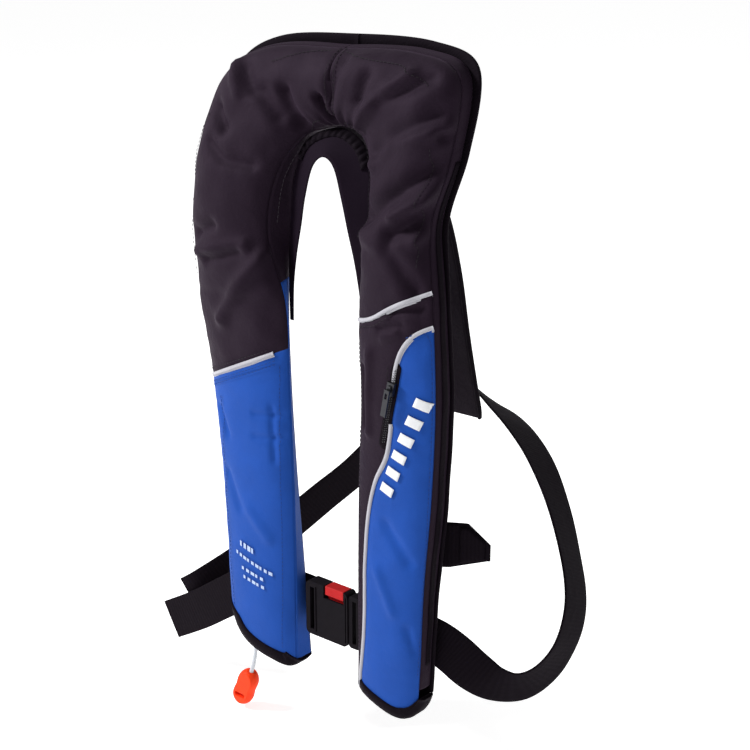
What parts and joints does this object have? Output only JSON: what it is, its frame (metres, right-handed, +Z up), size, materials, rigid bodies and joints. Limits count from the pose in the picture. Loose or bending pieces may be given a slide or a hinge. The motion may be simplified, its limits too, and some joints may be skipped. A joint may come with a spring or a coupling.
{
  "type": "inflatable life jacket",
  "caption": "Horseshoe inflatable life jacket with folded bladder and gas inflator in a zipped cover, waist belt with side-release buckle, back yoke and pull toggle.",
  "frame": {"origin": "lowest point of the neck arch, where the jacket rests on the wearer's nape", "axes": "+Z up, -Y to the wearer's front, +X to the wearer's left"},
  "size_m": [0.4445, 0.2662, 0.646],
  "materials": {
    "nylon_black": "wrinkled coated nylon",
    "nylon_blue": "coated nylon",
    "lining_black": "smooth lining cloth",
    "binding_black": "woven tape",
    "piping_light": "woven piping",
    "webbing_black": "woven polyester webbing",
    "mesh_black": "back cloth",
    "zip_metal": "painted zinc",
    "bladder_film": "coated bladder fabric",
    "gas_steel": "plated steel",
    "brass": "machined",
    "plastic_black": "moulded acetal",
    "plastic_red": "moulded acetal",
    "plastic_orange": "moulded",
    "plastic_yellow": "moulded",
    "rubber_black": "moulded",
    "cord_grey": "braided cord"
  },
  "bodies": {
    "root": {"cover_front_upper_left": "nylon_black", "cover_front_upper_right": "nylon_black", "cover_front_blue_left": "nylon_blue", "cover_front_black_right": "nylon_black", "cover_front_blue_right": "nylon_blue", "gusset_inner_blue_left": "nylon_blue", "gusset_inner_black_left": "nylon_black", "gusset_inner_right": "nylon_black", "gusset_outer_left": "nylon_black", "gusset_outer_right": "nylon_black", "back_panel_left": "mesh_black", "back_panel_right": "mesh_black", "edge_binding_left": "binding_black", "edge_binding_right": "binding_black", "burst_zip_left": "binding_black", "burst_zip_right": "binding_black", "hem_left": "binding_black", "hem_right": "binding_black", "neck_lining": "lining_black", "neck_gather": "binding_black", "piping_lobe_left": "piping_light", "piping_lobe_right": "piping_light", "piping_panel_top": "piping_light", "piping_panel_side": "piping_light", "pocket_zip_tape": "binding_black", "bladder": "bladder_film", "gas_cylinder": "gas_steel", "inflator_head": "plastic_black", "lever_pivot_pin": "gas_steel", "valve_manifold": "brass", "manifold_nut": "brass", "manifold_gasket": "rubber_black", "sensor_cap": "plastic_yellow", "oral_tube": "rubber_black", "oral_valve_body": "plastic_black", "whistle": "plastic_orange", "whistle_keeper": "webbing_black", "buckle_female": "plastic_black", "buckle_male": "plastic_black", "belt_right": "webbing_black", "belt_back_left": "webbing_black", "belt_front_left": "webbing_black", "strap_end": "webbing_black", "belt_loop_left": "webbing_black", "belt_loop_right": "webbing_black", "yoke": "mesh_black", "yoke_binding": "binding_black"},
    "lever": {"firing_lever": "plastic_black"},
    "pin": {"firing_pin": "brass"},
    "pull": {"pull_cord": "cord_grey", "pull_toggle": "plastic_orange"},
    "slider": {"zip_slider": "zip_metal"},
    "puller": {"zip_puller": "zip_metal"},
    "top_latch": {"latch_top": "plastic_red"},
    "bottom_latch": {"latch_bottom": "plastic_red"},
    "poppet": {"oral_valve_poppet": "plastic_red"}
  },
  "joints": [
    {"name": "firing_lever_swing", "type": "hinge", "parent": "root", "child": "lever", "pos_m": [-0.074, -0.008, -0.432], "axis": [0, -1, 0], "range_deg": [0, 60]},
    {"name": "firing_pin_slide", "type": "slide", "parent": "root", "child": "pin", "axis": [0, 0, 1], "range_m": [0, 0.0079]},
    {"name": "pull_cord_slide", "type": "slide", "parent": "root", "child": "pull", "axis": [0, 0, -1], "range_m": [0, 0.0147]},
    {"name": "zip_slide", "type": "slide", "parent": "root", "child": "slider", "axis": [-0.1878, 0, -0.9822], "range_m": [-0.01, 0.042]},
    {"name": "zip_puller_swing", "type": "hinge", "parent": "slider", "child": "puller", "pos_m": [0.09856, -0.0346, -0.17597], "axis": [-0.9822, 0, 0.1878], "range_deg": [0, 150]},
    {"name": "top_latch_squeeze", "type": "hinge", "parent": "root", "child": "top_latch", "pos_m": [0.0342, -0.004, -0.402], "axis": [0, -1, 0], "range_deg": [0, 6], "stiffness_Nm_per_rad": 0.5, "springref_deg": -2.86},
    {"name": "bottom_latch_squeeze", "type": "hinge", "parent": "root", "child": "bottom_latch", "pos_m": [0.0342, -0.004, -0.426], "axis": [0, 1, 0], "range_deg": [0, 6], "stiffness_Nm_per_rad": 0.5, "springref_deg": -2.86},
    {"name": "oral_valve_press", "type": "slide", "parent": "root", "child": "poppet", "axis": [0, 0, -1], "range_m": [0, 0.003], "stiffness_N_per_m": 300, "springref_m": -0.002}
  ],
  "couplings": [
    {"joint": "firing_lever_swing", "follows": "pull_cord_slide", "rad_per_m": 70.9},
    {"joint": "firing_pin_slide", "follows": "pull_cord_slide", "ratio": 0.5333}
  ]
}
